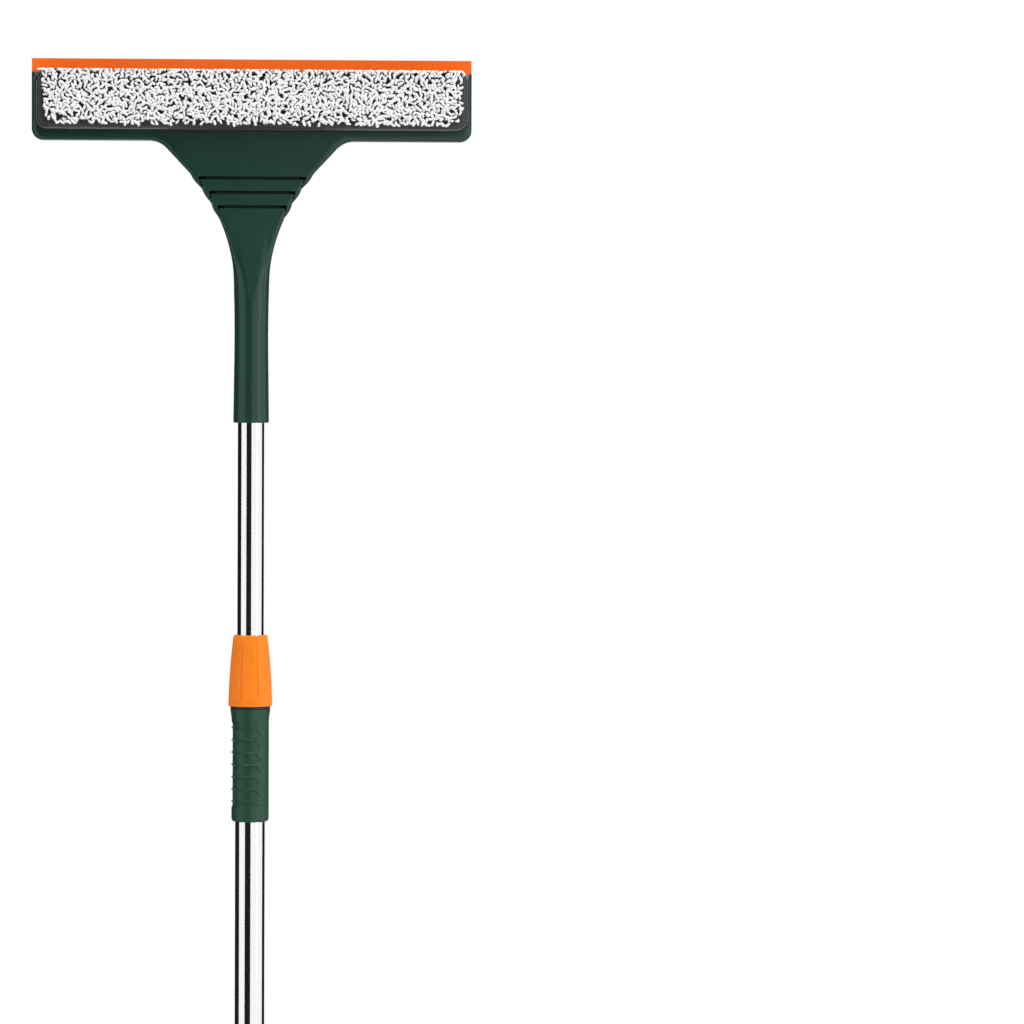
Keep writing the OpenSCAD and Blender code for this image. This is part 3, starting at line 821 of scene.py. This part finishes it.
class SQUEEGEE_OT_lock_nut(bpy.types.Operator):
    """Make the tapered lock nut with its shallow flutes"""
    bl_idname = "squeegee.lock_nut"
    bl_label = "Lock nut"

    def execute(self, context):
        s = sizes("squeegee_pole")
        low, high = (v[2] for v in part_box("lock_nut"))
        tall = high - low
        foot_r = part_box("lock_nut")[1][0]
        top_r, mouth = UPPER_R + 2.6 * MM, UPPER_R + 0.3 * MM
        wall, belly, lip = 1.2 * MM, 0.55 * MM, 0.45 * MM
        flatness, crease_width, first_flute = 0.6, 0.5 * MM, 0.59

        def outside(t):
            return foot_r + (top_r - foot_r) * t + belly * math.sin(math.pi * t)

        def shape(angle, r, z):
            t = (z - low) / tall
            if r < outside(min(max(t, 0), 1)) - wall:
                return np.full(len(angle), r)
            # flats between the flutes, and a fine crease at each flute, deepest half way up
            phase = (angle / (2 * math.pi) * s.flutes + first_flute) % 1
            across = (phase - 0.5) * 2 * math.pi / s.flutes
            flat = r * (math.cos(math.pi / s.flutes) / np.cos(across))
            crease = np.exp(-((np.abs(across) - math.pi / s.flutes) * r / crease_width) ** 2)
            fade = float(smooth((t - 0.03) / 0.12) * smooth((0.97 - t) / 0.14))
            return r + flatness * (flat - r) - s.flute_depth * crease * fade

        bore = mouth + 2 * MM
        profile = [(foot_r - 2 * lip, low)] + arc(foot_r - lip, low + lip, lip, -80, 0, 4)
        profile += [(outside(t), low + tall * t) for t in np.linspace(0.02, 0.975, 40)]
        profile += [(top_r - 0.35 * MM, high - 0.2 * MM), (top_r - 0.8 * MM, high)]
        profile += [(mouth + 0.3 * MM, high), (mouth, high - 0.4 * MM), (mouth, high - 5 * MM)]
        profile += [(bore, high - 8 * MM), (bore, low + 3 * MM)]
        profile += [(foot_r - 1.6 * MM, low + 3 * MM), (foot_r - 1.5 * MM, low)]
        nut = lathe("lock_nut_moulding", profile, 192, shape, sharp=50)
        place(nut, "nut", "orange_plastic", "lock_nut")
        return {"FINISHED"}


# ---- pad ----

def rounded_outline(width, height, radius, mid_z, corner_steps=14, side_step=4 * MM):
    """Points round a rectangle with rounded corners, in X and Z, with their outward directions."""
    hw, hh = width / 2 - radius, height / 2 - radius
    centres = [(hw, hh), (-hw, hh), (-hw, -hh), (hw, -hh)]
    points, outward = [], []
    for k, (cx, cz) in enumerate(centres):
        angles = np.radians(90 * k + np.linspace(0, 90, corner_steps + 1))
        for a in angles:
            outward.append((math.cos(a), math.sin(a)))
            points.append((cx + radius * math.cos(a), mid_z + cz + radius * math.sin(a)))
        nx, nz = centres[(k + 1) % 4]
        count = int(math.hypot(nx - cx, nz - cz) / side_step)
        a = math.radians(90 * (k + 1))
        start = (cx + radius * math.cos(a), mid_z + cz + radius * math.sin(a))
        for i in range(1, count):
            t = i / count
            points.append((start[0] + (nx - cx) * t, start[1] + (nz - cz) * t))
            outward.append((math.cos(a), math.sin(a)))
    return np.array(points), np.array(outward)


class PadShape:
    """The pad's outline, and its front as a depth for each place."""

    def __init__(self, s):
        self.low, self.high = (np.array(v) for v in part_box("pad_cloth"))
        self.width = self.high[0] - self.low[0] - 2 * s.inset
        self.height = self.high[2] - self.low[2] - 2 * s.inset
        self.mid = (self.high[2] + self.low[2]) / 2
        self.corner = 7 * MM
        self.edge = s.front_edge
        self.crown, self.crown_reach = 0.8 * MM, 14 * MM
        self.front_y = self.low[1] + self.crown

    def margin(self, x, z):
        """Distance inside the pad's outline."""
        qx = np.abs(x) - self.width / 2 + self.corner
        qz = np.abs(z - self.mid) - self.height / 2 + self.corner
        return self.corner - past_corner(qx, qz)

    def front(self, x, z):
        """Where the front is in Y: rounded at the edge, and crowned towards the middle."""
        margin = self.margin(x, z)
        near = np.clip(self.edge - margin, 0, self.edge)
        crown = self.crown * smooth(margin / self.crown_reach)
        return self.front_y - crown + self.edge - np.sqrt(np.maximum(self.edge ** 2 - near ** 2, 0))

    def profile(self):
        """Rings from the backing forward, as (inset, y).

        They make a folded hem, a swelling side, the rounded edge and the crowned front.
        """
        hem = [(0.9, 0.0), (0.3, 0.25), (0.0, 0.9), (0.1, 1.6), (0.6, 2.1), (0.3, 2.7)]
        side = [(-0.05, 4.0), (-0.2, 5.6), (-0.1, 7.0)]
        rings = [(inset * MM, self.high[1] - depth * MM) for inset, depth in hem + side]
        for t in np.radians(np.linspace(0, 90, 9)):
            rings.append((self.edge * (1 - math.cos(t)), self.front_y + self.edge * (1 - math.sin(t))))
        for inset in np.array((6, 8, 10, 12, 14)) * MM:
            rings.append((inset, self.front_y - self.crown * float(smooth(inset / self.crown_reach))))
        return rings


class SQUEEGEE_OT_pad(bpy.types.Operator):
    """Make the padded body of the wash pad in its satin cover"""
    bl_idname = "squeegee.pad"
    bl_label = "Wash pad"

    def creases(self, s, shape, points):
        """How far the cover stands out at each point of the outline, most of all at its corners."""
        rng = np.random.default_rng(5)
        run = np.concatenate([[0], np.cumsum(np.linalg.norm(np.diff(points, axis=0), axis=1))])
        waves = [(rng.uniform(90, 420), rng.uniform(0, 6.3), rng.uniform(0.4, 1)) for _ in range(9)]
        wave = sum(a * np.sin(run * f + p) for f, p, a in waves) / 3
        at_corner = np.exp(-((np.abs(points[:, 0]) - shape.width / 2 + 5 * MM) / (9 * MM)) ** 2)
        return s.crease * (0.4 + 1.6 * at_corner) * wave

    def execute(self, context):
        s = sizes("squeegee_pad")
        shape = PadShape(s)
        points, outward = rounded_outline(shape.width, shape.height, shape.corner, shape.mid)
        crease = self.creases(s, shape, points)
        # moving in keeps the same points, so that the rings join one to one
        middle = np.array((0, shape.mid))
        reach = np.array((shape.width / 2 - shape.corner, shape.height / 2 - shape.corner))
        centre = np.clip(points - middle, -reach, reach)
        rings = []
        for k, (inset, y) in enumerate(shape.profile()):
            shrink = np.minimum(max(inset - shape.corner, 0), np.abs(centre))
            out = max(shape.corner - inset, 0) + crease * (2 < k < 16)
            moved = middle + centre - np.sign(centre) * shrink + outward * out[:, None]
            rings.append(np.stack([moved[:, 0], np.full(len(moved), y), moved[:, 1]], 1))
        pad = loft("pad_cover", rings, sharp=60)
        place(pad, "pad", "black_cloth", "pad_cloth", "pad_sponge")
        # painted shade: the near-black backing shows as a dark rim round the inset pad, standing in for the
        # pad's shadow on the bar
        dress("pad_backing", "grey_plastic", 0.3 * MM)
        dress("hook_strips", "hook_tape")
        return {"FINISHED"}


class SQUEEGEE_OT_pile(bpy.types.Operator):
    """Cover the pad's front with loops of white yarn"""
    bl_idname = "squeegee.pile"
    bl_label = "Pile"

    def roots(self, s, shape, rng):
        """Where the loops stand: staggered rows, a little scattered, rounded off at the lower corners."""
        row, scatter, corner = s.spacing * 0.87, 0.36 * MM, 9 * MM
        low_z, high_z = shape.low[2] + 5.6 * MM, shape.high[2] - 1.4 * MM
        left, right = -shape.width / 2 + 5.4 * MM, shape.width / 2 - 4.8 * MM
        xs, zs = [], []
        for k, z in enumerate(np.arange(low_z, high_z + 0.5 * row, row)):
            x = np.arange(left, right, s.spacing)
            xs.append(x + (k % 2) * s.spacing / 2)
            zs.append(np.full(len(x), z))
        x, z = np.concatenate(xs), np.concatenate(zs)
        x = x + rng.normal(0, scatter, len(x))
        z = z + rng.normal(0, scatter, len(z))
        away = np.maximum(np.maximum(left - x, x - right) + corner, 0)
        keep = np.hypot(away, np.maximum(low_z + corner - z, 0)) < corner + 0.3 * MM
        return x[keep], z[keep]

    def lines(self, s, shape, rng, x, z, t):
        """The middle line of each loop, and the direction that lies across it."""
        count = len(x)
        (_, tip_y, _), (_, _, top_z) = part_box("pad_pile")
        # loops lie in drifts that change direction slowly, and splay outwards near the edges
        turn = 1.9 * np.sin(x * 95 + 1.3) * np.cos(z * 170 + x * 40)
        turn = turn + 1.2 * np.sin(z * 260 - x * 60 + 0.7) + rng.normal(0, 0.75, count)
        up = z - shape.mid
        edge = np.clip(1 - (shape.margin(x, z) - 4 * MM) / (5 * MM), 0, 1)
        out_x = np.where(np.abs(x) > shape.width / 2 - 14 * MM, np.sign(x), 0) * edge
        out_z = np.where(np.abs(up) > shape.height / 2 - 9 * MM, np.sign(up), 0) * edge
        along = np.stack([np.cos(turn) + 1.3 * out_x, np.sin(turn) + 1.3 * out_z], 1)
        along /= np.linalg.norm(along, axis=1, keepdims=True)
        across = np.stack([-along[:, 1], along[:, 0]], 1)
        size = s.loop * rng.uniform(0.72, 1.25, count)
        height = shape.front(x, z) - tip_y - s.yarn - rng.uniform(0, 0.8 * MM, count)
        sway = rng.normal(0, 0.75 * MM, count)
        curl = rng.normal(0, 0.6 * MM, count)
        run = np.outer(size, t - 0.5)
        bend = np.outer(sway, np.sin(math.pi * t)) + np.outer(curl, np.sin(2 * math.pi * t))
        rise = np.outer(height, 1 - np.abs(2 * t - 1) ** 3.2) - 0.5 * MM
        lean = 0.35 * rise
        px = x[:, None] + run * along[:, :1] + bend * across[:, :1] + lean * out_x[:, None]
        py = shape.front(x, z)[:, None] - rise
        pz = z[:, None] + run * along[:, 1:] + bend * across[:, 1:] + lean * out_z[:, None]
        return np.stack([px, py, np.minimum(pz, top_z + 0.4 * MM)], 2), across

    def yarn(self, s, rng, line, across, t, sides=6):
        """Points and faces of a length of yarn along each line."""
        count, steps = line.shape[:2]
        ahead = np.gradient(line, axis=1)
        ahead /= np.linalg.norm(ahead, axis=2, keepdims=True)
        beside = np.stack([across[:, 0], np.zeros(count), across[:, 1]], 1)[:, None, :]
        beside = beside - (beside * ahead).sum(2, keepdims=True) * ahead
        beside /= np.linalg.norm(beside, axis=2, keepdims=True)
        above = np.cross(ahead, beside)
        a = np.arange(sides) * 2 * math.pi / sides
        swell = 1 + 0.12 * np.sin(t * 9 + rng.uniform(0, 6.3, count)[:, None])
        thick = s.yarn * rng.uniform(0.82, 1.15, count)[:, None] * swell * (0.8 + 0.2 * np.sin(math.pi * t))
        ring = np.cos(a)[:, None] * beside[:, :, None] + np.sin(a)[:, None] * above[:, :, None]
        points = line[:, :, None] + thick[:, :, None, None] * ring
        i, j = (v.ravel() for v in np.meshgrid(np.arange(steps - 1), np.arange(sides), indexing="ij"))
        k = (j + 1) % sides
        one = np.stack([i * sides + j, (i + 1) * sides + j, (i + 1) * sides + k, i * sides + k], 1)
        starts = np.arange(count)[:, None, None] * steps * sides
        faces = (starts + one[None]).reshape(-1, 4).tolist()
        for start in range(0, count * steps * sides, steps * sides):
            end = start + (steps - 1) * sides
            faces.append(tuple(range(start, start + sides)))
            faces.append(tuple(reversed(range(end, end + sides))))
        return points.reshape(-1, 3).tolist(), faces

    def execute(self, context):
        s = sizes("squeegee_pad")
        shape = PadShape(s)
        rng = np.random.default_rng(11)
        t = np.linspace(0, 1, 8)
        x, z = self.roots(s, shape, rng)
        line, across = self.lines(s, shape, rng, x, z, t)
        pile = mesh_object("pile_loops", *self.yarn(s, rng, line, across, t))
        face_outwards(pile)
        place(pile, "pad", "white_pile", "pad_pile")
        return {"FINISHED"}


# ---- stage ----

def aim(obj, target):
    obj.rotation_euler = (Vector(target) - obj.location).to_track_quat("-Z", "Y").to_euler()


def softbox(name, place_at, target, width, tall, power, mirrored=False):
    """A rectangular lamp. Only a mirrored one shows in reflections."""
    lamp = bpy.data.lights.new(name, "AREA")
    lamp.shape = "RECTANGLE"
    lamp.size, lamp.size_y, lamp.energy = width, tall, power
    obj = bpy.data.objects.new(name, lamp)
    obj.location = place_at
    obj.visible_glossy = mirrored
    aim(obj, target)
    bpy.context.scene.collection.objects.link(obj)


def flag(name, start, end, radius, low, high):
    """A black screen round the object between two bearings, from near its foot outwards and then up.

    It is seen only in reflections. Bearing 0 is in front.
    """
    bearings = np.radians(np.linspace(start, end, 13))
    corners = ((0.03, low), (radius, low), (radius, high))
    points = [(r * math.sin(b), -r * math.cos(b), z) for r, z in corners for b in bearings]
    n = len(bearings)
    faces = [(k + i, k + i + 1, k + n + i + 1, k + n + i) for k in (0, n) for i in range(n - 1)]
    obj = mesh_object(name, points, faces)
    f = Finish(name)
    f.set(Base_Color=(0.01, 0.01, 0.01, 1), Roughness=1.0, Specular_IOR_Level=0.0)
    obj.data.materials.append(f.material)
    for ray in ("camera", "diffuse", "shadow", "transmission", "volume_scatter"):
        setattr(obj, f"visible_{ray}", False)
    obj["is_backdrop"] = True


class SQUEEGEE_OT_stage(bpy.types.Operator):
    """Set the floor, the lamps, the black flags, the white surround and the camera"""
    bl_idname = "squeegee.stage"
    bl_label = "Stage"

    def surround(self, scene):
        """White where it is seen or reflected, and a plain level where it lights the object."""
        world = bpy.data.worlds.new("surround")
        scene.world = world
        world.use_nodes = True
        nodes, links = world.node_tree.nodes, world.node_tree.links
        seen = nodes["Background"]
        seen.inputs["Color"].default_value = (1, 1, 1, 1)
        seen.inputs["Strength"].default_value = 1.0
        light = nodes.new("ShaderNodeBackground")
        light.inputs["Color"].default_value = (1, 1, 1, 1)
        light.inputs["Strength"].default_value = 0.57
        path = nodes.new("ShaderNodeLightPath")
        factor = path.outputs["Is Camera Ray"]
        for ray in ("Is Glossy Ray", "Is Transmission Ray"):
            either = nodes.new("ShaderNodeMath")
            either.operation = "MAXIMUM"
            links.new(factor, either.inputs[0])
            links.new(path.outputs[ray], either.inputs[1])
            factor = either.outputs[0]
        mix = nodes.new("ShaderNodeMixShader")
        links.new(factor, mix.inputs[0])
        links.new(light.outputs[0], mix.inputs[1])
        links.new(seen.outputs[0], mix.inputs[2])
        links.new(mix.outputs[0], nodes["World Output"].inputs["Surface"])

    def floor(self, low):
        """A pale floor that fades into the white surround."""
        reach = 4.0
        bearings = np.arange(96) * 2 * math.pi / 96
        points = [(reach * math.cos(b), reach * math.sin(b), low - 1 * MM) for b in bearings]
        floor = mesh_object("floor", points, [tuple(range(96))])
        f = Finish("pale_floor")
        f.tint(f.noise(6, 3), (0.93, 0.93, 0.93), (0.95, 0.95, 0.95))
        f.set(Roughness=0.9, Specular_IOR_Level=0.1)
        glow = f.add("ShaderNodeEmission")
        away = f.add("ShaderNodeVectorMath")
        away.operation = "LENGTH"
        f.wire(f.coords, away.inputs[0])
        fade = f.between(away.outputs["Value"], 0, 1)
        fade.node.inputs["From Min"].default_value = 0.5
        fade.node.inputs["From Max"].default_value = 1.8
        mix = f.add("ShaderNodeMixShader")
        f.wire(fade, mix.inputs[0])
        f.wire(f.shader.outputs[0], mix.inputs[1])
        f.wire(glow.outputs[0], mix.inputs[2])
        f.wire(mix.outputs[0], f.tree.nodes["Material Output"].inputs["Surface"])
        floor.data.materials.append(f.material)
        floor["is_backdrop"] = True

    def camera(self, scene):
        data = bpy.data.cameras.new("camera")
        data.sensor_width = 36
        data.lens = 207.25
        data.clip_end = 50
        camera = bpy.data.objects.new("camera", data)
        yaw = Matrix.Rotation(math.radians(-3.356), 4, "Z")
        pitch = Matrix.Rotation(math.radians(90 - 1.889), 4, "X")
        roll = Matrix.Rotation(math.radians(0.246), 4, "Z")
        camera.matrix_world = Matrix.Translation((-0.05, -3.5, 0.64)) @ (yaw @ pitch) @ roll
        scene.collection.objects.link(camera)
        scene.camera = camera

    def execute(self, context):
        scene = context.scene
        self.surround(scene)
        self.floor(FRAME_BOX[0][2])
        middle, foot = (0, 0, 0.6), FRAME_BOX[0][2] + 1 * MM
        reach, tall = 2.2, 3.4
        softbox("key_softbox", (2.6, -1.6, 1.6), middle, 1.6, 2.0, 46)
        softbox("left_softbox", (-2.4, -1.4, 1.2), middle, 0.7, 2.2, 6)
        softbox("top_softbox", (0.1, -0.9, 3.3), middle, 1.8, 1.2, 40)
        softbox("right_strip", (2.3, -1.6, 0.9), middle, 0.3, 2.4, 6, mirrored=True)
        softbox("top_strip", (0.0, -0.4, 3.0), middle, 1.6, 0.3, 4, mirrored=True)
        flag("front_flag", -40, 4, reach, foot, tall)
        flag("left_flag", -90, -158, reach, foot, tall)
        flag("right_flag", 106, 152, reach, foot, tall)
        self.camera(scene)
        scene.view_settings.view_transform = "Standard"
        return {"FINISHED"}


class SQUEEGEE_PT_panel(bpy.types.Panel):
    """Sizes, finishes and the pieces to make"""
    bl_label = "Squeegee"
    bl_idname = "SQUEEGEE_PT_panel"
    bl_space_type = "VIEW_3D"
    bl_region_type = "UI"
    bl_category = "Squeegee"

    def draw(self, context):
        for key in GROUPS:
            box = self.layout.box()
            box.label(text=GROUPS[key].__doc__)
            for name in GROUPS[key].__annotations__:
                box.prop(sizes(key), name)
        for operator in PIECES:
            self.layout.operator(operator.bl_idname)


GROUPS = {
    "squeegee_head": HeadSizes,
    "squeegee_pole": PoleSizes,
    "squeegee_pad": PadSizes,
    "squeegee_finishes": Finishes,
}
PIECES = (
    SQUEEGEE_OT_head, SQUEEGEE_OT_blade, SQUEEGEE_OT_tubes, SQUEEGEE_OT_end_cap, SQUEEGEE_OT_rivets,
    SQUEEGEE_OT_grip, SQUEEGEE_OT_lock_nut, SQUEEGEE_OT_pad, SQUEEGEE_OT_pile, SQUEEGEE_OT_stage,
)


def register():
    for cls in (*GROUPS.values(), *PIECES, SQUEEGEE_PT_panel):
        bpy.utils.register_class(cls)
    for key, group in GROUPS.items():
        setattr(bpy.types.Scene, key, PointerProperty(type=group))


def unregister():
    for key in GROUPS:
        delattr(bpy.types.Scene, key)
    for cls in (SQUEEGEE_PT_panel, *reversed(PIECES), *reversed(GROUPS.values())):
        bpy.utils.unregister_class(cls)


def main():
    register()
    for operator in PIECES:
        group, name = operator.bl_idname.split(".")
        getattr(getattr(bpy.ops, group), name)()
    boxes = {"cad": FRAME_BOX, "visual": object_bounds()}
    {key: [list(corner) for corner in box] for key, box in boxes.items()}


if __name__ == "__main__":
    main()
